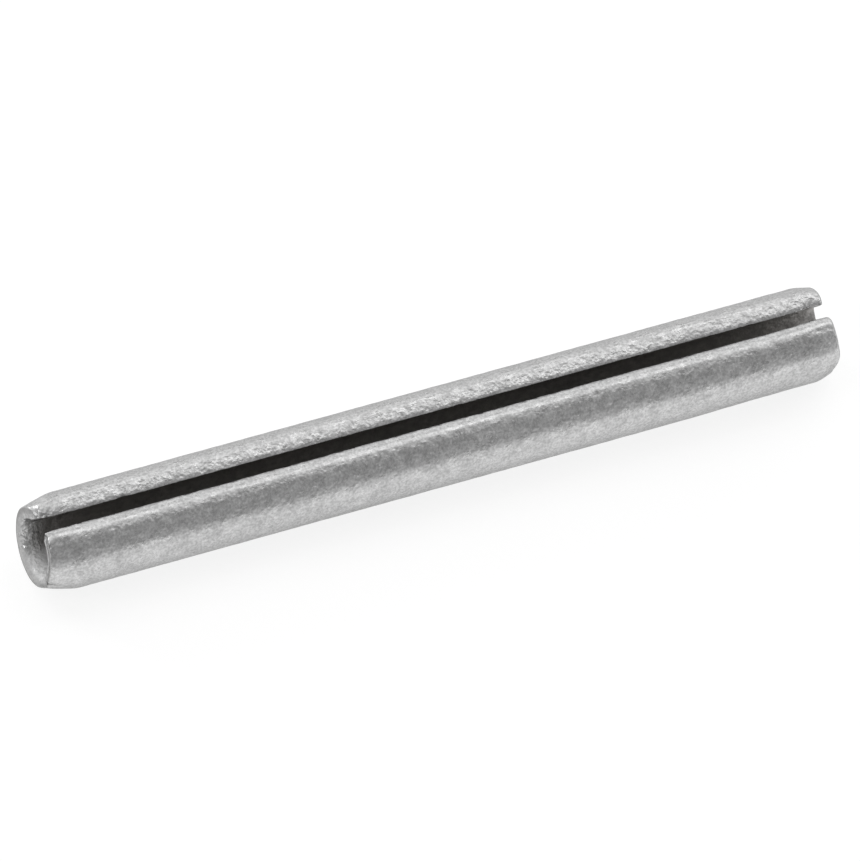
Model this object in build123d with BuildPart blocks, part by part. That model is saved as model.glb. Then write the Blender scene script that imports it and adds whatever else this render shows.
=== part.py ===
from build123d import *
import os
from math import cos, radians, sin

# Slotted spring pin, also called a roll pin: a short steel strip rolled round an open slot.
# Millimetres and degrees. The pin lies along X, its slot opens straight up (+Z), and the origin
# is on its axis at the middle of its length. The long lead is at -X, the short tail at +X.

# The rolled strip, as it is before the pin is driven into a hole.
outer_diameter = 5.0
wall_thickness = 1.0
pin_length = 44.45
slot_width = 0.95

# The strip's long edges, which face each other across the slot as two rounded lips.
lip_outer_round = 0.4
lip_inner_round = 0.2

# Both ends are squeezed to a smaller diameter, so that they start in the hole.
lead_length = 1.55
lead_depth = 0.36
tail_length = 0.8
tail_depth = 0.26
end_edge_break = 0.1

# The tail's end face leans back towards the slot, as the strip came out of the rolling.
tail_lean = 4.0

# The strip's corners are cut off where the lips meet the lead's end face.
corner_cut_length = 0.4
corner_cut_width = 0.85

outer_radius = outer_diameter / 2
bore_radius = outer_radius - wall_thickness
tail_setback = (outer_radius - tail_depth - end_edge_break) * sin(radians(tail_lean))

lead_end = -pin_length / 2
body_start = lead_end + lead_length
tail_end = pin_length / 2 - tail_setback
body_end = tail_end - tail_length


def strip_section(plane, taper_depth, edge_inset=0.0):
    """Return the strip's C-shaped section on a plane across the pin.

    The outside is taper_depth smaller than the body's, and edge_inset trims the section all
    round. The lips' rounds shrink with the wall that is left for them.
    """
    section_radius = outer_radius - taper_depth - edge_inset
    section_bore = bore_radius + edge_inset
    wall_left = (section_radius - section_bore) / wall_thickness
    with BuildSketch(plane) as section:
        Circle(section_radius)
        Circle(section_bore, mode=Mode.SUBTRACT)
        with Locations((0, outer_radius)):
            Rectangle(slot_width + 2 * edge_inset, outer_diameter, mode=Mode.SUBTRACT)
        outer_corners = section.vertices().sort_by(SortBy.DISTANCE)[-2:]
        fillet(outer_corners, lip_outer_round * wall_left)
        inner_corners = section.vertices().sort_by(SortBy.DISTANCE)[:2]
        fillet(inner_corners, lip_inner_round * wall_left)
    return section.sketch


def leaning_plane(x):
    """Return a plane across the tail at x on the axis, leaning back on the slot's side."""
    lean = radians(tail_lean)
    return Plane(origin=(x, 0, 0), x_dir=(0, 1, 0), z_dir=(cos(lean), 0, sin(lean)))


with BuildPart() as spring_pin:
    body_section = strip_section(Plane.YZ.offset(body_start), 0)
    extrude(body_section, amount=body_end - body_start)

    lead_face = strip_section(Plane.YZ.offset(lead_end), lead_depth, end_edge_break)
    lead_edge = strip_section(Plane.YZ.offset(lead_end + end_edge_break), lead_depth)
    loft([lead_face, lead_edge, body_section], ruled=True)

    tail_section = strip_section(Plane.YZ.offset(body_end), 0)
    tail_edge = strip_section(leaning_plane(tail_end - end_edge_break), tail_depth)
    tail_face = strip_section(leaning_plane(tail_end), tail_depth, end_edge_break)
    loft([tail_section, tail_edge, tail_face], ruled=True)

    # The corner cuts, one wedge drawn from above and taken out of both lips.
    cut_reach = slot_width / 2 + corner_cut_width
    with BuildSketch(Plane.XY):
        with BuildLine():
            Polyline(
                (lead_end, -cut_reach),
                (lead_end + corner_cut_length, -slot_width / 2),
                (lead_end + corner_cut_length, slot_width / 2),
                (lead_end, cut_reach),
                close=True,
            )
        make_face()
    extrude(amount=outer_radius, mode=Mode.SUBTRACT)

spring_pin.part.label = "spring_pin"

os.makedirs("parts", exist_ok=True)
export_step(spring_pin.part, "parts/spring_pin.step")
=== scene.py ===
"""Dresses a slotted spring pin: its rolled strip, zinc finish, floor, lamps and camera.

Lengths are in metres and angles in radians, apart from the lamps' and the camera's degrees. A span
is a pair, from where something starts to change to where it has changed.
"""

import logging
import math
from dataclasses import dataclass
from enum import Enum

import bpy
import numpy as np
from mathutils import Matrix, Vector


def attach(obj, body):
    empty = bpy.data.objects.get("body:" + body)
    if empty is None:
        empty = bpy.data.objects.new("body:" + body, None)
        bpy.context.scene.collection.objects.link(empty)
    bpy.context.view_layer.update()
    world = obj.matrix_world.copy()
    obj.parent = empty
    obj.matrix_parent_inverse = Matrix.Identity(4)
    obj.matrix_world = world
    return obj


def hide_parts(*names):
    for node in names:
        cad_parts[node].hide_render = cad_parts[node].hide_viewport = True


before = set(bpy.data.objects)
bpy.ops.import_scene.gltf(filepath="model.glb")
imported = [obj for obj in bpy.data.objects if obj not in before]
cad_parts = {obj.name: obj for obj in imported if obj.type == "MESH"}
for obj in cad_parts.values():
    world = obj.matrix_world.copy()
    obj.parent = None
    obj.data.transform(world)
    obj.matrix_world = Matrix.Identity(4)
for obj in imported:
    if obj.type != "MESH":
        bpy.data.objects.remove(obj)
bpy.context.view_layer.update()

log = logging.getLogger("spring_pin")

MM = 0.001
TINY = 1e-15
BODY = "root"
PIN_NODE = "spring_pin"

Grid = np.ndarray
Span = tuple[float, float]
Colour = tuple[float, float, float, float]
Settings = dict[str, object]
Sockets = dict[str | int, object]


def grey(level: float, warmth: float = 0.0) -> Colour:
    """Return a grey of a linear level, leaning to red with warmth or to blue with a negative one."""
    return (level * (1 + warmth), level, level * (1 - warmth), 1.0)


def smooth_step(value: Grid, low: float, high: float) -> Grid:
    """Return 0 below low, 1 above high and the cubic 3t^2 - 2t^3 between them.

    Args:
        value: Where to work the step out.
        low: The value at which it leaves 0.
        high: The value at which it reaches 1.

    Returns:
        An array shaped like value.
    """
    share = np.clip((value - low) / (high - low), 0.0, 1.0)
    return share * share * (3.0 - 2.0 * share)


def bell(value: Grid, centre: float, width: float) -> Grid:
    """Return the bell exp(-((value - centre) / width)^2)."""
    return np.exp(-(((value - centre) / width) ** 2))


def polar(radius: Grid, direction: Grid | float) -> Grid:
    """Return the y and z, radius (sin t, cos t), at a direction t from +Z, on a new last axis."""
    return np.stack((radius * np.sin(direction), radius * np.cos(direction)), axis=-1)


def looking_from(azimuth: float, elevation: float) -> Vector:
    """Return the unit vector towards a place round the pin.

    Args:
        azimuth: The place's azimuth in degrees, 0 at -Y and 90 at +X.
        elevation: Its height over the floor in degrees.

    Returns:
        The vector from the pin's middle to that place.
    """
    a, e = math.radians(azimuth), math.radians(elevation)
    return Vector((math.sin(a) * math.cos(e), -math.cos(a) * math.cos(e), math.sin(e)))


@dataclass(frozen=True)
class LatticeNoise:
    """Smooth seeded noise in space: a random value on each corner of a cubic lattice.

    Between the corners the eight nearest values are blended with the cubic 3t^2 - 2t^3 on each axis.
    """

    seed: int
    table_size: int = 4096
    mixers: tuple[int, int, int] = (73856093, 19349663, 83492791)
    mixing_shift: int = 13
    layer_offset: float = 17.3

    def corner(self, cells: Grid, table: Grid) -> Grid:
        """Return the value on each lattice corner, by mixing its three whole numbers into one index.

        Args:
            cells: Whole lattice coordinates, with the axes x, y, z last.
            table: The values to pick from.

        Returns:
            One value for each corner.
        """
        x, y, z = (cells[..., axis] * mixer for axis, mixer in enumerate(self.mixers))
        mixed = x ^ y ^ z
        return table[np.mod(mixed ^ (mixed >> self.mixing_shift), self.table_size)]

    def at(self, points: Grid, cell: float) -> Grid:
        """Return the noise at points, from -1 to 1.

        Args:
            points: Positions, with the axes x, y, z last.
            cell: The lattice's pitch in the unit of points.

        Returns:
            One value for each point.
        """
        table = np.random.default_rng(self.seed).uniform(-1.0, 1.0, self.table_size)
        place = points / cell
        base = np.floor(place).astype(np.int64)
        share = smooth_step(place - base, 0.0, 1.0)
        total = np.zeros(points.shape[:-1])
        for step in np.stack(np.meshgrid((0, 1), (0, 1), (0, 1)), -1).reshape(-1, 3):
            weight = np.prod(np.where(step, share, 1.0 - share), axis=-1)
            total += weight * self.corner(base + step, table)
        return total

    def layered(self, points: Grid, cell: float, layers: int) -> Grid:
        """Return several noises added up, each with half the pitch and half the height of the last.

        Args:
            points: Positions, with the axes x, y, z last.
            cell: The pitch of the first and coarsest noise.
            layers: How many noises are added.

        Returns:
            One value for each point.
        """
        total = np.zeros(points.shape[:-1])
        for layer in range(layers):
            total += self.at(points + self.layer_offset * cell * layer, cell / 2**layer) / 2**layer
        return total


class Side(Enum):
    """The pin's two ends, each with its sign on the X axis."""

    LEAD = -1
    TAIL = 1


@dataclass(frozen=True)
class Chip:
    """A place on an end's rim that is worn back, or by a negative depth one that stands out."""

    angle: float
    width: float
    depth: float


@dataclass(frozen=True)
class SqueezedEnd:
    """One end of the pin, where the strip is squeezed narrower and its edges are rounded."""

    side: Side
    taper_length: float
    taper_depth: float
    outer_edge_round: float
    bore_edge_round: float
    lean_depth: float
    lean_far_angle: float
    stand_out: float
    chips: tuple[Chip, ...]
    bore_squeeze: float = 0.0
    squeeze_reach: float = 1.3
    flare_depth: float = 0.0
    flare_length: float = 0.5 * MM
    flare_angle: float = 0.0
    flare_least: float = 0.2
    middle_share: float = 0.485
    face_rows: int = 5
    edge_rows: int = 7

    def rows(self, wall_left: float) -> tuple[Grid, Grid, Grid]:
        """Return the rows from the middle of the end face out to its edge and round onto the side.

        On the face the rows are cut into the wall by equal steps from its edge to its middle. Round
        the edge, of radius q, a row turned by t lies q(1 - cos t) in from the face and is cut back
        by q(1 - sin t).

        Args:
            wall_left: The wall's thickness at the face.

        Returns:
            Each row's distance in from the face, its cut into the outer arc and its cut into the bore.
        """
        middle = self.middle_share * wall_left
        share = np.linspace(1.0, 0.0, self.face_rows + 1)[:-1]
        turn = np.linspace(0.0, math.pi / 2.0, self.edge_rows)
        inwards = np.concatenate((0.0 * share, self.outer_edge_round * (1.0 - np.cos(turn))))
        outer_cut, bore_cut = (
            np.concatenate((edge + (middle - edge) * share, edge * (1.0 - np.sin(turn))))
            for edge in (self.outer_edge_round, self.bore_edge_round))
        return inwards, outer_cut, bore_cut

    def setback(self, angle: Grid) -> Grid:
        """Return how far the end face stands back from the pin's full length, round the strip.

        The face is a plane that leans, so its setback is depth (1 - cos(a)) / 2, where a is the angle
        from the side that stands furthest out. That side may stand out past the full length. Each
        chip moves the face further back, by a bell round the chip's angle.

        Args:
            angle: Each point's angle round the axis from the slot.

        Returns:
            The setback, shaped like angle.
        """
        lean = 0.5 * self.lean_depth * (1.0 - np.cos(angle - self.lean_far_angle)) - self.stand_out
        for chip in self.chips:
            lean = lean + chip.depth * np.exp(2.0 * (np.cos(angle - chip.angle) - 1.0) / chip.width**2)
        return lean

    def squeeze(self, angle: Grid, from_face: Grid) -> Grid:
        """Return how far the bore is squeezed inwards, most opposite the slot and not at all beside it.

        Args:
            angle: Each point's angle round the axis from the slot.
            from_face: Each row's distance from the face, as a column.

        Returns:
            The narrowing, shaped like angle.
        """
        left = 1.0 - smooth_step(from_face, 0.0, self.squeeze_reach * self.taper_length)
        return self.bore_squeeze * left * 0.5 * (1.0 - np.cos(angle))

    def flare(self, angle: Grid, from_face: Grid) -> Grid:
        """Return how far the bore opens out at its mouth, where it rounds over onto the end face.

        Along the pin it is a quarter of an ellipse, 1 - sqrt(1 - (1 - d / length)^2) at d from the
        face. Round the bore its depth goes from all at one angle to the least share opposite.

        Args:
            angle: Each point's angle round the axis from the slot.
            from_face: Each row's distance from the face, as a column.

        Returns:
            The widening, shaped like angle.
        """
        near = np.clip(1.0 - from_face / self.flare_length, 0.0, 1.0)
        round_over = 1.0 - np.sqrt(1.0 - near**2)
        side = 0.5 * (1.0 + np.cos(angle - self.flare_angle))
        return self.flare_depth * (self.flare_least + (1.0 - self.flare_least) * side) * round_over


@dataclass(frozen=True)
class Bend:
    """A part of a lip's outline with one radius, up to an outward direction from +Z."""

    radius: float
    until: float
    steps: int


@dataclass(frozen=True)
class StripSection:
    """The strip's C-shaped section across the pin, as an outline with a fixed number of points.

    One half runs from the bottom of the outer arc up to a lip, over it and down the bore to its
    bottom. The other half mirrors it. The steps of a lip's bends add up to bend_steps.
    """

    outer_radius: float = 2.5 * MM
    wall: float = 1.0 * MM
    inner_round: float = 0.15 * MM
    bore_steps: int = 32
    bend_steps: int = 14
    flank_steps: int = 2
    inner_round_steps: int = 2

    @property
    def bore_radius(self) -> float:
        """Return the radius of the hole through the rolled strip."""
        return self.outer_radius - self.wall

    @property
    def outer_steps(self) -> int:
        """Return the steps of half the outer arc, two for each step of the bore."""
        return 2 * self.bore_steps

    @property
    def lip_points(self) -> int:
        """Return the number of points strictly between the two arcs on one lip."""
        return self.bend_steps + self.flank_steps + self.inner_round_steps - 1

    @property
    def half_count(self) -> int:
        """Return the number of points on one half, with both bottoms."""
        return self.outer_steps + 1 + self.lip_points + self.bore_steps + 1

    @property
    def count(self) -> int:
        """Return the number of points on the whole outline."""
        return 2 * self.half_count - 2

    def half(self, outer_cut: Grid, bore_cut: Grid, slot_half: Grid, bends: tuple[Bend, ...]) -> Grid:
        """Return the half on the +Y side, for each row along the pin.

        The outer arc has the radius A = R - outer_cut and the bore B = r + bore_cut. With
        u(t) = (sin t, cos t) for an outward direction t from +Z, the lip's bends follow each other
        without a corner: the first has its centre at (A - p1) u(touch), and each next one lies
        (p - q) u(t) further on, where p and q are the radii before and after the direction t. The
        last bend's innermost point is at y = slot_half, which gives touch. The flank stands square
        to the last direction. The inner round of radius w touches the flank and the bore, so its
        centre lies w behind the flank and B + w from the axis. All radii shrink with the wall.

        Args:
            outer_cut: How far the outer arc is cut back, for each row.
            bore_cut: How far the bore is widened, for each row.
            slot_half: Half the slot's width, for each row.
            bends: The lip's bends, from the outer arc to the flank.

        Returns:
            The points' y and z on the last axis, a line for each row.
        """
        outer = (self.outer_radius - outer_cut)[:, None]
        bore = (self.bore_radius + bore_cut)[:, None]
        left = (outer - bore) / self.wall
        radii = [bend.radius * left for bend in bends]
        inner = self.inner_round * left

        reach = slot_half[:, None] + radii[-1]
        for bend, radius, after in zip(bends, radii, radii[1:]):
            reach = reach - (radius - after) * math.sin(bend.until)
        touch = np.arcsin(reach / (outer - radii[0]))
        arc = math.pi + (touch - math.pi) * np.linspace(0.0, 1.0, self.outer_steps + 1)
        points = [polar(outer, arc)]

        centre = polar(outer - radii[0], touch)
        start = touch
        for bend, radius, after in zip(bends, radii, radii[1:] + [inner]):
            turn = start + (bend.until - start) * np.linspace(0.0, 1.0, bend.steps + 1)[1:]
            points.append(centre + polar(radius, turn))
            centre = centre + polar(radius - after, bend.until)
            start = bend.until

        run = np.array((-math.cos(start), math.sin(start)))
        ahead = centre @ run
        flank = -ahead - np.sqrt(ahead**2 - np.sum(centre**2, axis=-1) + (bore + inner) ** 2)
        down = flank * np.linspace(0.0, 1.0, self.flank_steps + 1)[1:]
        points.append(centre + polar(inner, start) + down[..., None] * run)

        centre = centre + flank[..., None] * run
        leave = np.arctan2(centre[..., 0], centre[..., 1])
        tuck = start + (leave - math.pi - start) * np.linspace(0.0, 1.0, self.inner_round_steps + 1)[1:-1]
        points.append(centre + polar(inner, tuck))
        hole = leave + (math.pi - leave) * np.linspace(0.0, 1.0, self.bore_steps + 1)
        points.append(polar(bore, hole))
        return np.concatenate(points, axis=1)

    def whole(self, right: Grid, left: Grid) -> Grid:
        """Return the closed outline, from the +Y half and a half to mirror onto the -Y side."""
        mirrored = left[:, -2:0:-1] * np.array((-1.0, 1.0))
        return np.concatenate((right, mirrored), axis=1)

    def cap_faces(self, first: int, outwards: bool) -> list[tuple[int, ...]]:
        """Return the faces that close the strip's innermost outline on an end face.

        Each step of the bore is joined to two steps of the outer arc by a quad and a triangle, and
        each lip is one polygon.

        Args:
            first: The index of the outline's first point.
            outwards: Whether the faces run the same way round as the +Y half's points.

        Returns:
            The faces, as tuples of point indices.
        """
        last = self.half_count - 1
        half = [list(range(self.outer_steps, self.outer_steps + self.lip_points + 2))]
        for step in range(self.bore_steps):
            half.append([2 * step, 2 * step + 1, last - step - 1, last - step])
            half.append([2 * step + 1, 2 * step + 2, last - step - 1])
        mirrored = [[(self.count - point) % self.count for point in face][::-1] for face in half]
        order = 1 if outwards else -1
        return [tuple(first + point for point in face[::order]) for face in half + mirrored]


@dataclass(frozen=True)
class Scar:
    """A small hollow in the outer surface, an ellipse along the pin, placed from one of its ends."""

    name: str
    end: Side
    inset: float
    angle: float
    length: float
    width: float
    depth: float
    # How much shade is painted into the hollow, from 0 to 1.
    hollow_shade: float = 0.0


@dataclass(frozen=True)
class Nick:
    """A place where a lip's edge stands back from its line, placed from one of the pin's ends."""

    end: Side
    inset: float
    length: float
    depth: float


@dataclass(frozen=True)
class Lip:
    """One long edge of the strip: its side of the slot and how its line strays near the ends."""

    seed: int
    gap: float
    bends: tuple[Bend, ...]
    lead_shift: float
    lead_reach: float
    tail_shift: float
    tail_reach: float
    nicks: tuple[Nick, ...] = ()
    wander: float = 0.006 * MM
    wander_pitch: float = 2.4 * MM
    wander_layers: int = 4

    def line(self, x: Grid, length: float) -> Grid:
        """Return how far the lip lies from the slot's middle, along the pin.

        Its wander is noise. Its shift near each end goes with the square of the way into the reach.

        Args:
            x: Places along the pin.
            length: The pin's length.

        Returns:
            The distance at each place.
        """
        along = np.stack((x, 0.0 * x, 0.0 * x), axis=-1)
        noise = LatticeNoise(self.seed).layered(along, self.wander_pitch, self.wander_layers)
        lead = np.clip(1.0 - (length / 2.0 + x) / self.lead_reach, 0.0, 1.0) ** 2
        tail = np.clip(1.0 - (length / 2.0 - x) / self.tail_reach, 0.0, 1.0) ** 2
        total = self.gap + self.wander * noise + self.lead_shift * lead + self.tail_shift * tail
        for nick in self.nicks:
            middle = nick.end.value * (length / 2.0 - nick.inset)
            total = total + nick.depth * bell(x, middle, nick.length)
        return total


@dataclass(frozen=True)
class WearAndPaintedLightMap:
    """Where the finish changes: painted shade in the bore and on the end faces, painted light and
    roughness in its open mouths, and roughness on the lips.
    """

    # bore_span and deep_span give where the bore is painted darker, as shade, deeper in.
    bore_span: Span = (0.55, 0.95)
    mouth_span: Span = (0.25, 0.7)
    deep_span: Span = (0.0, 1.5 * MM)
    torn_lead_reach: float = 1.6 * MM
    torn_tail_reach: float = 3.0 * MM
    torn_tail_share: float = 0.5
    # The spans of the painted light in the bore's open mouths: lighter on the side that the lead's mouth
    # opens to, and a little at the tail.
    below_span: Span = (0.5, 0.9)
    bright_lead_span: Span = (0.8 * MM, 3.2 * MM)
    bright_tail_reach: float = 1.0 * MM
    bright_tail_share: float = 0.1
    # The span of facing over which the end faces are painted darker, as shade, and how much less where
    # they are torn.
    cut_span: Span = (0.55, 0.9)
    cut_torn_loss: float = 0.6
    far_rough_fade: Span = (math.radians(20), math.radians(29))
    near_rough_rise: Span = (math.radians(24), math.radians(32))
    near_rough_fade: Span = (math.radians(44), math.radians(60))
    near_rough_share: float = 0.5

    def masks(self, from_lead: Grid, from_tail: Grid, angle: Grid, into_wall: Grid, facing: Grid,
              mouth_angle: float) -> dict[str, Grid]:
        """Return the masks that the finish reads, from 0 to 1.

        They are deep in the bore, where shade is painted, on the lips, rough round the mouths, bright
        in the open mouths, where light is painted, and cut on the end faces, where shade is painted.

        Args:
            from_lead: Each point's distance from the lead's face.
            from_tail: Each point's distance from the tail's face.
            angle: Each point's angle round the axis from the slot.
            into_wall: How deep each point lies in the wall, from 0 outside to 1 in the bore.
            facing: How squarely the surface faces along the pin, from 0 to 1.
            mouth_angle: The side of the bore that the lead's mouth opens to.

        Returns:
            Each mask by its name, with one value for each point.
        """
        near_bore = smooth_step(into_wall, *self.mouth_span)
        torn_lead = bell(from_lead, 0.0, self.torn_lead_reach)
        torn_tail = self.torn_tail_share * bell(from_tail, 0.0, self.torn_tail_reach)
        rough = near_bore * np.maximum(torn_lead, torn_tail)
        # Painted light: the bore's open mouths are painted lighter, at the lead on the side that the
        # mouth opens to, and a little at the tail.
        below = smooth_step(np.cos(angle - mouth_angle), *self.below_span)
        bright_lead = below * (1.0 - smooth_step(from_lead, *self.bright_lead_span))
        bright_tail = self.bright_tail_share * bell(from_tail, 0.0, self.bright_tail_reach)
        bright = near_bore * np.maximum(bright_lead, bright_tail)
        # Painted shade: the bore is painted darker deeper in, away from the lead's mouth and the painted
        # light.
        inside = smooth_step(into_wall, *self.bore_span) * smooth_step(from_lead, *self.deep_span)
        # Painted shade: faces that look along the pin, the end faces, are painted darker, less so where
        # torn.
        cut = smooth_step(facing, *self.cut_span) * (1.0 - self.cut_torn_loss * rough)
        return {"deep": inside * (1.0 - bright), "lips": self.lips(angle), "rough": rough,
                "bright": bright, "cut": cut}

    def lips(self, angle: Grid) -> Grid:
        """Return the mask of the rough bands along the slot.

        The far lip is rough from the slot up to its crown. The near lip is smooth on its crown and
        rough, by a lesser share, where it turns down to the pin's side.

        Args:
            angle: Each point's angle round the axis from the slot.

        Returns:
            The mask, shaped like angle.
        """
        far = 1.0 - smooth_step(angle, *self.far_rough_fade)
        rise = smooth_step(-angle, *self.near_rough_rise)
        fade = 1.0 - smooth_step(-angle, *self.near_rough_fade)
        return np.where(angle > 0.0, far, self.near_rough_share * rise * fade)


@dataclass(frozen=True)
class RolledPin:
    """The whole pin: one closed surface of the strip's section carried along the pin's length.

    The pin lies along X with its slot up. Its far lip is on the +Y side and its near lip on the -Y
    side.
    """

    name: str = "rolled_pin"
    length: float = 44.45 * MM
    section: StripSection = StripSection()
    lead: SqueezedEnd = SqueezedEnd(
        side=Side.LEAD, taper_length=1.55 * MM, taper_depth=0.36 * MM,
        outer_edge_round=0.13 * MM, bore_edge_round=0.06 * MM,
        lean_depth=0.1 * MM, lean_far_angle=math.radians(-160), stand_out=0.035 * MM,
        chips=(
            Chip(angle=math.radians(-125), width=math.radians(15), depth=0.18 * MM),
            Chip(angle=math.radians(-88), width=math.radians(26), depth=-0.1 * MM),
            Chip(angle=math.radians(70), width=math.radians(25), depth=-0.08 * MM)),
        bore_squeeze=0.25 * MM,
        flare_depth=0.6 * MM, flare_length=1.4 * MM, flare_angle=math.radians(-155), flare_least=0.1)
    tail: SqueezedEnd = SqueezedEnd(
        side=Side.TAIL, taper_length=1.05 * MM, taper_depth=0.24 * MM,
        outer_edge_round=0.2 * MM, bore_edge_round=0.1 * MM,
        lean_depth=0.66 * MM, lean_far_angle=math.radians(165), stand_out=0.165 * MM,
        chips=(Chip(angle=math.radians(-104), width=math.radians(20), depth=0.34 * MM),))
    far_lip: Lip = Lip(
        seed=11, gap=0.36 * MM,
        bends=(
            Bend(radius=0.83 * MM, until=math.radians(-11.5), steps=6),
            Bend(radius=8.7 * MM, until=math.radians(-13.2), steps=1),
            Bend(radius=0.425 * MM, until=math.radians(-44.8), steps=3),
            Bend(radius=0.05 * MM, until=math.radians(-120), steps=4)),
        lead_shift=0.34 * MM, lead_reach=2.2 * MM, tail_shift=-0.07 * MM, tail_reach=12.0 * MM,
        nicks=(
            Nick(Side.LEAD, inset=4.775 * MM, length=0.2 * MM, depth=0.05 * MM),
            Nick(Side.TAIL, inset=0.325 * MM, length=0.9 * MM, depth=0.09 * MM)))
    near_lip: Lip = Lip(
        seed=12, gap=0.447 * MM,
        bends=(
            Bend(radius=0.83 * MM, until=math.radians(-30), steps=8),
            Bend(radius=0.2 * MM, until=math.radians(-120), steps=6)),
        lead_shift=-0.08 * MM, lead_reach=4.0 * MM, tail_shift=-0.08 * MM, tail_reach=5.0 * MM)
    wear: WearAndPaintedLightMap = WearAndPaintedLightMap()
    body_rows: int = 364
    crowded_rows: int = 24
    crowded_length: float = 1.2 * MM
    shoulder_blend: float = 0.7 * MM
    lean_span: Span = (0.2 * MM, 4.0 * MM)
    slim_depth: float = 0.084 * MM
    slim_angle: float = math.radians(-120)
    slim_span: Span = (11.5 * MM, 20.5 * MM)
    swell_seed: int = 3
    swell_height: float = 0.006 * MM
    swell_pitch: float = 0.9 * MM
    grain_seed: int = 5
    grain_height: float = 0.006 * MM
    grain_pitch: float = 0.32 * MM
    relief_layers: int = 2
    scar_span: Span = (0.5, 0.95)
    # Where a scar has a last value, it is how much shade is painted into its hollow.
    scars: tuple[Scar, ...] = (
        Scar("worn near corner", Side.LEAD, inset=0.075 * MM, angle=math.radians(-19),
             length=0.24 * MM, width=0.22 * MM, depth=0.13 * MM),
        Scar("worn far corner", Side.LEAD, inset=0.125 * MM, angle=math.radians(30),
             length=0.24 * MM, width=0.42 * MM, depth=0.13 * MM),
        Scar("face fold", Side.LEAD, inset=-0.025 * MM, angle=math.radians(-97),
             length=0.3 * MM, width=0.1 * MM, depth=0.08 * MM, hollow_shade=0.8),
        Scar("worn lead rim", Side.LEAD, inset=0.025 * MM, angle=math.radians(-124),
             length=0.4 * MM, width=0.5 * MM, depth=0.1 * MM),
        Scar("worn tail rim", Side.TAIL, inset=0.075 * MM, angle=math.radians(-118),
             length=0.6 * MM, width=0.6 * MM, depth=0.1 * MM),
        Scar("pressed lip", Side.TAIL, inset=1.075 * MM, angle=math.radians(7),
             length=0.6 * MM, width=0.26 * MM, depth=0.15 * MM),
        Scar("gash", Side.TAIL, inset=1.375 * MM, angle=math.radians(-28),
             length=0.5 * MM, width=0.09 * MM, depth=0.06 * MM, hollow_shade=0.2),
        Scar("pit", Side.TAIL, inset=13.985 * MM, angle=math.radians(-29),
             length=0.12 * MM, width=0.1 * MM, depth=0.05 * MM, hollow_shade=0.7),
        Scar("lip pit", Side.LEAD, inset=4.825 * MM, angle=math.radians(9),
             length=0.16 * MM, width=0.12 * MM, depth=0.04 * MM, hollow_shade=0.9),
        Scar("small pit", Side.TAIL, inset=2.425 * MM, angle=math.radians(-37),
             length=0.12 * MM, width=0.12 * MM, depth=0.03 * MM, hollow_shade=0.5),
    )

    def from_end(self, x: Grid, side: Side) -> Grid:
        """Return how far places along the pin are from one of its ends."""
        return self.length / 2.0 - side.value * x

    def taper(self, x: Grid) -> Grid:
        """Return how deep the outer arc is squeezed at x.

        Each end's depth rises in a straight line over its taper, and a short parabola rounds its
        shoulder.

        Args:
            x: Places along the pin.

        Returns:
            The depth at each place.
        """
        total = np.zeros_like(x)
        for end in (self.lead, self.tail):
            into = end.taper_length - self.from_end(x, end.side)
            soft = np.clip(into + self.shoulder_blend / 2.0, 0.0, self.shoulder_blend)
            straight = np.maximum(into - self.shoulder_blend / 2.0, 0.0)
            ramp = soft**2 / (2.0 * self.shoulder_blend) + straight
            total += end.taper_depth / end.taper_length * ramp
        return total

    def stations(self) -> tuple[Grid, Grid, Grid]:
        """Return the rows along the pin, crowded together near the ends.

        Returns:
            Each row's place along the pin, its cut into the outer arc and its cut into the bore.
        """
        lead_in, lead_outer, lead_bore = self.lead.rows(self.section.wall - self.lead.taper_depth)
        tail_in, tail_outer, tail_bore = self.tail.rows(self.section.wall - self.tail.taper_depth)
        start = -self.length / 2.0 + lead_in[-1]
        stop = self.length / 2.0 - tail_in[-1]
        crowd = self.crowded_length * np.linspace(0.0, 1.0, self.crowded_rows + 1)[1:]
        middle = np.linspace(start + crowd[-1], stop - crowd[-1], self.body_rows + 2)[1:-1]
        body = np.concatenate((start + crowd, middle, stop - crowd[::-1]))
        x = np.concatenate((-self.length / 2.0 + lead_in, body, self.length / 2.0 - tail_in[::-1]))
        outer_cut = np.concatenate((lead_outer, 0.0 * body, tail_outer[::-1]))
        bore_cut = np.concatenate((lead_bore, 0.0 * body, tail_bore[::-1]))
        return x, outer_cut, bore_cut

    def surface(self) -> tuple[Grid, Grid]:
        """Return the smooth surface, a line for each row and a column round the section.

        The section is carried along the rows. Near an end its points lean with the end face and its
        bore is squeezed and flared, and one side slims towards the tail.

        Returns:
            The points, and how deep each lies in the wall, from 0 outside to 1 in the bore.
        """
        x, outer_cut, bore_cut = self.stations()
        tapered = outer_cut + self.taper(x)
        edge_cut = 0.5 * (outer_cut + bore_cut)
        outline = self.section.whole(*(
            self.section.half(tapered, bore_cut, edge_cut + lip.line(x, self.length), lip.bends)
            for lip in (self.far_lip, self.near_lip)))
        angle = np.arctan2(outline[..., 0], outline[..., 1])
        radius = np.hypot(outline[..., 0], outline[..., 1])
        uncut = (self.section.outer_radius - self.taper(x))[:, None]
        into_wall = np.clip((uncut - radius) / (uncut - self.section.bore_radius), 0.0, 1.0)

        place = x[:, None] + np.zeros_like(angle)
        opening = np.zeros_like(angle)
        for end in (self.lead, self.tail):
            from_face = self.from_end(x, end.side)[:, None]
            hold = 1.0 - smooth_step(from_face, *self.lean_span)
            place -= end.side.value * end.setback(angle) * hold
            opening += into_wall * (end.flare(angle, from_face) - end.squeeze(angle, from_face))
        slim = self.slim_depth * smooth_step(x, *self.slim_span)[:, None]
        slim = slim * np.maximum(np.cos(angle - self.slim_angle), 0.0) ** 2
        scale = (1.0 + opening / radius) * (1.0 - slim / self.section.outer_radius)
        return np.concatenate((place[..., None], outline * scale[..., None]), axis=-1), into_wall

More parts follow.
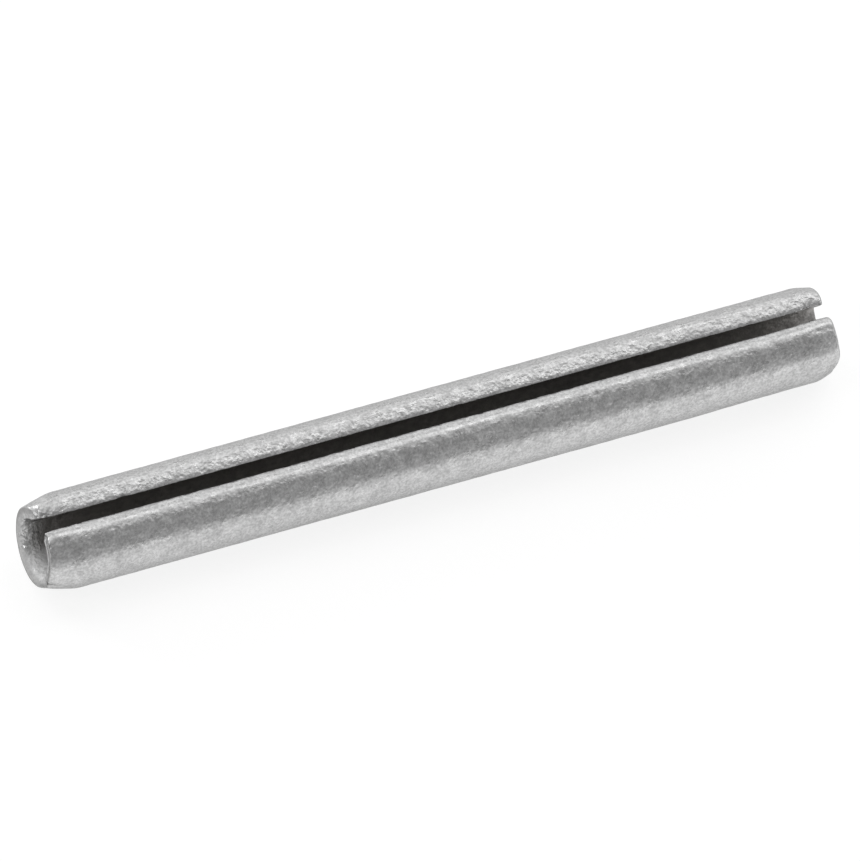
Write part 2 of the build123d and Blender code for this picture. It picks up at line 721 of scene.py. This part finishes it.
    def normals(self, points: Grid) -> Grid:
        """Return each point's outward direction, the cross product of the grid's two directions.

        Args:
            points: The surface's points, a line for each row.

        Returns:
            The unit normals, shaped like points.
        """
        around = np.roll(points, -1, axis=1) - np.roll(points, 1, axis=1)
        along = np.gradient(points, axis=0)
        normal = np.cross(around, along)
        length = np.linalg.norm(normal, axis=-1, keepdims=True)
        return normal / np.maximum(length, TINY)

    def scarred(self, points: Grid, into_wall: Grid) -> tuple[Grid, Grid]:
        """Return the scars' depth and painted shade, each scar a bell along the pin times a bell round
        it.

        Args:
            points: The smooth surface's points.
            into_wall: How deep each point lies in the wall.

        Returns:
            How deep the scars go at each point, and how much shade is painted into them there.
        """
        angle = np.arctan2(points[..., 1], points[..., 2])
        radius = np.hypot(points[..., 1], points[..., 2])
        outside = 1.0 - smooth_step(into_wall, *self.scar_span)
        depth, hollow_shade = np.zeros_like(angle), np.zeros_like(angle)
        for scar in self.scars:
            middle = scar.end.value * (self.length / 2.0 - scar.inset)
            around = radius * np.sin(angle - scar.angle)
            facing = np.cos(angle - scar.angle) > 0.0
            shape = bell(points[..., 0], middle, scar.length) * bell(around, 0.0, scar.width)
            depth += scar.depth * shape * outside * facing
            # Painted shade, laid like the hollow itself.
            hollow_shade += scar.hollow_shade * shape * outside * facing
        return depth, np.clip(hollow_shade, 0.0, 1.0)

    def relief(self, points: Grid) -> Grid:
        """Return how far the swell and the grain of the surface move each point outwards.

        Args:
            points: The smooth surface's points.

        Returns:
            The height at each point.
        """
        swell = LatticeNoise(self.swell_seed).layered(points, self.swell_pitch, self.relief_layers)
        grain = LatticeNoise(self.grain_seed).layered(points, self.grain_pitch, self.relief_layers)
        return self.swell_height * swell + self.grain_height * grain

    def faces(self, rows: int, columns: int) -> list[tuple[int, ...]]:
        """Return the surface's faces, a quad between each two rows and columns, and the end caps.

        Args:
            rows: The number of rows along the pin.
            columns: The number of points round the section.

        Returns:
            The faces, as tuples of point indices.
        """
        index = np.arange(rows * columns).reshape(rows, columns)
        right = np.roll(index, -1, axis=1)
        quads = np.stack((index[:-1], index[1:], right[1:], right[:-1]), axis=-1).reshape(-1, 4)
        lead_cap = self.section.cap_faces(0, True)
        tail_cap = self.section.cap_faces((rows - 1) * columns, False)
        return [tuple(quad) for quad in quads.tolist()] + lead_cap + tail_cap

    def build(self) -> bpy.types.Object:
        """Make the pin's mesh with its surface, its masks and smooth shading.

        Returns:
            The pin's object, in the scene.
        """
        smooth, into_wall = self.surface()
        normals = self.normals(smooth)
        scar_depth, hollow_shade = self.scarred(smooth, into_wall)
        points = smooth + (self.relief(smooth) - scar_depth)[..., None] * normals
        faces = self.faces(*points.shape[:2])
        mesh = bpy.data.meshes.new(self.name)
        mesh.from_pydata(points.reshape(-1, 3).tolist(), [], faces)
        mesh.shade_smooth()

        from_lead, from_tail = (self.from_end(smooth[..., 0], side) for side in Side)
        angle = np.arctan2(smooth[..., 1], smooth[..., 2])
        masks = self.wear.masks(
            from_lead, from_tail, angle, into_wall, np.abs(normals[..., 0]), self.lead.flare_angle)
        for name, values in {**masks, "hollow_shade": hollow_shade}.items():
            layer = mesh.attributes.new(name, "FLOAT", "POINT")
            layer.data.foreach_set("value", values.astype(np.float32).ravel())
        mesh.update()
        log.info("%s: %d triangles", self.name, sum(len(face) - 2 for face in faces))
        log.info("%s: scars %s", self.name, ", ".join(scar.name for scar in self.scars))
        pin = bpy.data.objects.new(self.name, mesh)
        bpy.context.scene.collection.objects.link(pin)
        return pin


class Wire:
    """One output socket of a material's node, with Python arithmetic that adds Math nodes."""

    def __init__(self, board: "NodeBoard", socket: bpy.types.NodeSocket) -> None:
        """Keep the node tree's board and the socket."""
        self.board = board
        self.socket = socket

    def math(self, operation: str, *values: "Wire | float") -> "Wire":
        """Return the result of a Math node with that operation on the values."""
        return self.board.node("ShaderNodeMath", {"operation": operation}, dict(enumerate(values)))

    def maximum(self, other: "Wire | float") -> "Wire":
        """Return the larger of self and other."""
        return self.math("MAXIMUM", self, other)

    def __add__(self, other: "Wire | float") -> "Wire":
        """Return self + other."""
        return self.math("ADD", self, other)

    def __radd__(self, other: float) -> "Wire":
        """Return other + self."""
        return self.math("ADD", other, self)

    def __sub__(self, other: "Wire | float") -> "Wire":
        """Return self - other."""
        return self.math("SUBTRACT", self, other)

    def __rsub__(self, other: float) -> "Wire":
        """Return other - self."""
        return self.math("SUBTRACT", other, self)

    def __mul__(self, other: "Wire | float") -> "Wire":
        """Return self * other."""
        return self.math("MULTIPLY", self, other)

    def __rmul__(self, other: float) -> "Wire":
        """Return other * self."""
        return self.math("MULTIPLY", other, self)


class MixSocket(Enum):
    """The Mix node's sockets for colours, by number, as their names are not unique."""

    SHARE = 0
    FIRST = 6
    SECOND = 7
    RESULT = 2


class NodeBoard:
    """A node tree, to which nodes are added by type, settings and socket values."""

    def __init__(self, tree: bpy.types.NodeTree) -> None:
        """Clear the tree and keep it."""
        tree.nodes.clear()
        self.tree = tree

    def add(self, kind: str, settings: Settings, sockets: Sockets) -> bpy.types.Node:
        """Add a node, with its settings made and its inputs linked or filled.

        Args:
            kind: The node's type.
            settings: Its own settings, which are made first.
            sockets: Values or wires for its inputs, by name or number.

        Returns:
            The node.
        """
        made = self.tree.nodes.new(kind)
        for name, value in settings.items():
            setattr(made, name, value)
        for name, value in sockets.items():
            if isinstance(value, Wire):
                self.tree.links.new(value.socket, made.inputs[name])
            else:
                made.inputs[name].default_value = value
        return made

    def node(self, kind: str, settings: Settings, sockets: Sockets, output: int | str = 0) -> Wire:
        """Add a node and return one of its outputs, by name or number, as a wire."""
        return Wire(self, self.add(kind, settings, sockets).outputs[output])

    def mix_colour(self, share: Wire | float, first: Wire | Colour, second: Wire | Colour) -> Wire:
        """Return a blend of two colours.

        Args:
            share: The second colour's share.
            first: The colour at a share of 0.
            second: The colour at a share of 1.

        Returns:
            The blended colour.
        """
        sockets = {
            MixSocket.SHARE.value: share, MixSocket.FIRST.value: first, MixSocket.SECOND.value: second}
        return self.node("ShaderNodeMix", {"data_type": "RGBA"}, sockets, MixSocket.RESULT.value)

    def ramp(self, value: Wire, low: float, high: float) -> Wire:
        """Return value spread from 0 at low to 1 at high, smoothly and clamped."""
        sockets = {"Value": value, "From Min": low, "From Max": high}
        return self.node("ShaderNodeMapRange", {"interpolation_type": "SMOOTHSTEP"}, sockets)

    def mark(self, name: str) -> Wire:
        """Return one of the mesh's own masks."""
        return self.node("ShaderNodeAttribute", {"attribute_name": name}, {}, "Fac")

    def noise(self, place: Wire, size: float, detail: float) -> Wire:
        """Return a noise from 0 to 1, with grains of that size and that many finer layers."""
        sockets = {"Vector": place, "Scale": 1.0 / size, "Detail": detail}
        return self.node("ShaderNodeTexNoise", {}, sockets)


@dataclass(frozen=True)
class ZincFinish:
    """Dull zinc plating on rolled steel: grainy grey metal, with shade painted darker deep in the bore,
    on the end faces and in its scars, and light painted in the bore's open mouths.
    """

    name: str = "zinc_on_rolled_steel"
    light: Colour = grey(0.7)
    dark: Colour = grey(0.47)
    # Painted light: the lighter grey and the lesser metallic share where the bore's open mouths are
    # painted lit.
    lit_mouth_grey: Colour = grey(0.6)
    lit_mouth_matt_share: float = 0.75
    # Painted shade: the darker grey deep in the bore.
    bore: Colour = grey(0.36, 0.03)
    # Painted shade: the near-black grey in the scars' hollows.
    hollow_shade: Colour = grey(0.1, 0.03)
    # Painted shade: the darker grey of the end faces.
    end_face_shade: Colour = grey(0.36, 0.005)
    edge_tint: Colour = grey(0.58)
    roughness: float = 0.36
    roughness_spread: float = 0.3
    bore_roughness: float = 0.2
    wear_size: float = 0.45 * MM
    cloud_size: float = 0.7 * MM
    cloud_share: float = 0.2
    cloud_detail: float = 3.0
    pit_size: float = 0.3 * MM
    pit_height: float = 0.028 * MM
    grain_size: float = 0.13 * MM
    grain_height: float = 0.006 * MM
    grain_detail: float = 2.0
    noise_span: Span = (0.3, 0.7)
    lip_gain: float = 2.7
    torn_gain: float = 3.0

    def material(self) -> bpy.types.Material:
        """Make the finish, whose colours, gloss and bumps follow noises and the mesh's masks.

        Returns:
            The material.
        """
        made = bpy.data.materials.new(self.name)
        made.use_nodes = True
        board = NodeBoard(made.node_tree)
        place = board.node("ShaderNodeTexCoord", {}, {}, "Object")
        deep, lips, torn = board.mark("deep"), board.mark("lips"), board.mark("rough")
        bright, cut, hollow_shade = board.mark("bright"), board.mark("cut"), board.mark("hollow_shade")

        pits = board.noise(place, self.pit_size, self.grain_detail)
        grain = board.noise(place, self.grain_size, self.grain_detail)
        cloud = board.ramp(board.noise(place, self.cloud_size, self.cloud_detail), *self.noise_span)
        wear = board.ramp(board.noise(place, self.wear_size, self.cloud_detail), *self.noise_span)

        speckle = board.ramp(grain, *self.noise_span)
        mottle = self.cloud_share * cloud + (1.0 - self.cloud_share) * speckle
        plated_and_lit_mouth = board.mix_colour(mottle, self.dark, self.light)
        # Painted light: the bore's open mouths are painted lighter.
        plated_and_lit_mouth = board.mix_colour(bright, plated_and_lit_mouth, board.mix_colour(mottle, self.light, self.lit_mouth_grey))
        # Painted shade: darker on the end faces and deep in the bore.
        colour = board.mix_colour(deep, board.mix_colour(cut, plated_and_lit_mouth, self.end_face_shade), self.bore)
        # Painted shade in the scars' hollows.
        colour = board.mix_colour(hollow_shade, colour, self.hollow_shade)

        rough = self.roughness + self.roughness_spread * (wear - 0.5)
        rough = rough + self.bore_roughness * (deep + bright)
        height = self.pit_height * pits + self.grain_height * grain
        height = height * (1.0 + self.lip_gain * lips + self.torn_gain * torn)
        bump = board.node(
            "ShaderNodeBump", {}, {"Strength": 1.0, "Distance": 1.0, "Height": height}, "Normal")
        # Where light is painted in the mouths, the metal is also made less metallic.
        metal = board.node("ShaderNodeBsdfPrincipled", {}, {
            "Base Color": colour, "Metallic": 1.0 - self.lit_mouth_matt_share * bright, "Roughness": rough,
            "Normal": bump, "Specular Tint": self.edge_tint})
        board.add("ShaderNodeOutputMaterial", {}, {"Surface": metal})
        return made


@dataclass(frozen=True)
class PaleGround:
    """A plain white ground: matt for the light that it passes on, and white where it is seen.

    Where the camera or a gloss sees it, it is a white glow with a faint matt share over it, which
    keeps the pin's shadow.
    """

    name: str = "white_ground"
    matt: Colour = grey(0.85)
    seen_matt: Colour = grey(0.3)
    seen_glow: float = 0.79

    def material(self) -> bpy.types.Material:
        """Make the ground's finish.

        Returns:
            The material.
        """
        made = bpy.data.materials.new(self.name)
        made.use_nodes = True
        board = NodeBoard(made.node_tree)
        camera, gloss, through = (board.node("ShaderNodeLightPath", {}, {}, ray) for ray in (
            "Is Camera Ray", "Is Glossy Ray", "Is Transmission Ray"))
        seen = camera.maximum(gloss.maximum(through))
        matt = board.node("ShaderNodeBsdfDiffuse", {}, {"Color": self.matt})
        faint = board.node("ShaderNodeBsdfDiffuse", {}, {"Color": self.seen_matt})
        glow = board.node("ShaderNodeEmission", {}, {"Color": grey(1.0), "Strength": self.seen_glow})
        white = board.node("ShaderNodeAddShader", {}, {0: faint, 1: glow})
        mixed = board.node("ShaderNodeMixShader", {}, {0: seen, 1: matt, 2: white})
        board.add("ShaderNodeOutputMaterial", {}, {"Surface": mixed})
        return made


@dataclass(frozen=True)
class SoftBox:
    """A long soft lamp, parallel to the pin and facing it.

    Its direction round the pin is given in degrees, with an azimuth of 0 at -Y and 90 at +X. Its
    level is its radiance, where 1 is white.
    """

    name: str
    azimuth: float
    elevation: float
    level: float
    distance: float = 0.9
    width: float = 2.4
    height: float = 0.42

    def hang(self) -> bpy.types.Object:
        """Hang the lamp and turn its long side along the pin.

        The power of a lamp that is seen with the radiance L is pi times its area times L.

        Returns:
            The lamp's object.
        """
        data = bpy.data.lights.new(self.name, "AREA")
        data.shape = "RECTANGLE"
        data.size = self.width
        data.size_y = self.height
        data.energy = math.pi * self.width * self.height * self.level
        away = looking_from(self.azimuth, self.elevation)
        over = away.cross(Vector((1.0, 0.0, 0.0))).normalized()
        turn = Matrix((over.cross(away), over, away)).transposed()
        lamp = bpy.data.objects.new(self.name, data)
        lamp.matrix_world = Matrix.Translation(away * self.distance) @ turn.to_4x4()
        bpy.context.scene.collection.objects.link(lamp)
        return lamp


@dataclass(frozen=True)
class Studio:
    """The plain floor, the soft lamps and the world's own even light."""

    floor_half: float = 6.0
    floor_level: float = -2.5 * MM
    world_strength: float = 0.27
    boxes: tuple[SoftBox, ...] = (
        SoftBox("front_low_lamp", azimuth=20.5, elevation=3.5, level=0.08, height=0.12),
        SoftBox("front_lamp", azimuth=21.4, elevation=9.3, level=0.14),
        SoftBox("front_middle_lamp", azimuth=25.2, elevation=32.4, level=0.06),
        SoftBox("front_high_lamp", azimuth=37.7, elevation=53.9, level=0.1),
        SoftBox("top_front_lamp", azimuth=77.3, elevation=68.3, level=0.45),
        SoftBox("top_lamp", azimuth=131.6, elevation=61.2, level=1.1),
        SoftBox("top_back_lamp", azimuth=151.4, elevation=41.3, level=0.45),
        SoftBox("back_lamp", azimuth=157.7, elevation=18.6, level=0.8),
        SoftBox("lead_lamp", azimuth=-88.0, elevation=40.0, level=3.6, width=0.3, height=0.3),
        SoftBox("lead_back_lamp", azimuth=-148.0, elevation=16.0, level=5.0, width=0.4, height=0.3),
    )

    def floor(self) -> bpy.types.Object:
        """Lay the floor, a flat sheet under the pin.

        Returns:
            The floor's object.
        """
        signs = ((-1, -1), (1, -1), (1, 1), (-1, 1))
        corners = [(x * self.floor_half, y * self.floor_half, self.floor_level) for x, y in signs]
        mesh = bpy.data.meshes.new("floor")
        mesh.from_pydata(corners, [], [(0, 1, 2, 3)])
        mesh.materials.append(PaleGround().material())
        floor = bpy.data.objects.new("floor", mesh)
        bpy.context.scene.collection.objects.link(floor)
        return floor

    def world(self) -> None:
        """Fill the world with faint even light."""
        world = bpy.data.worlds.new("white_surround")
        world.use_nodes = True
        board = NodeBoard(world.node_tree)
        sockets = {"Color": grey(1.0), "Strength": self.world_strength}
        glow = board.node("ShaderNodeBackground", {}, sockets)
        board.add("ShaderNodeOutputWorld", {}, {"Surface": glow})
        bpy.context.scene.world = world

    def lamps(self) -> None:
        """Hang the studio's lamps."""
        for box in self.boxes:
            box.hang()
            log.info("%s: radiance %.2f", box.name, box.level)


@dataclass(frozen=True)
class LongLensCamera:
    """A camera with a long lens, aimed from a direction round the pin and rolled about its own axis.

    Its lens is its focal length in millimetres.
    """

    azimuth: float = -37.827
    elevation: float = 54.055
    roll: float = 16.741
    distance: float = 1200.0 * MM
    lens: float = 997.5
    aim_right: float = -0.165 * MM
    aim_up: float = 0.387 * MM
    nearest: float = 0.1
    furthest: float = 20.0

    def place(self) -> bpy.types.Object:
        """Add the camera and make it the scene's own.

        Returns:
            The camera's object.
        """
        away = looking_from(self.azimuth, self.elevation)
        roll = Matrix.Rotation(math.radians(self.roll), 3, "Z")
        turn = (-away).to_track_quat("-Z", "Y").to_matrix() @ roll
        aim = turn @ Vector((self.aim_right, self.aim_up, 0.0))
        data = bpy.data.cameras.new("long_lens")
        data.lens = self.lens
        data.clip_start = self.nearest
        data.clip_end = self.furthest
        camera = bpy.data.objects.new("long_lens", data)
        camera.matrix_world = Matrix.Translation(aim + away * self.distance) @ turn.to_4x4()
        bpy.context.scene.collection.objects.link(camera)
        bpy.context.scene.camera = camera
        return camera


def main() -> None:
    """Build the camera, the studio and the pin."""
    logging.basicConfig(level=logging.INFO, format="%(name)s %(message)s")
    bpy.context.scene.view_settings.view_transform = "Standard"
    camera = LongLensCamera().place()
    log.info("%s: focal length %.1f mm", camera.name, camera.data.lens)
    studio = Studio()
    floor = studio.floor()
    log.info("%s: %.1f m wide", floor.name, 2.0 * studio.floor_half)
    studio.world()
    studio.lamps()
    pin = RolledPin().build()
    pin.data.materials.append(ZincFinish().material())
    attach(pin, BODY)
    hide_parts(PIN_NODE)


if __name__ == "__main__":
    main()
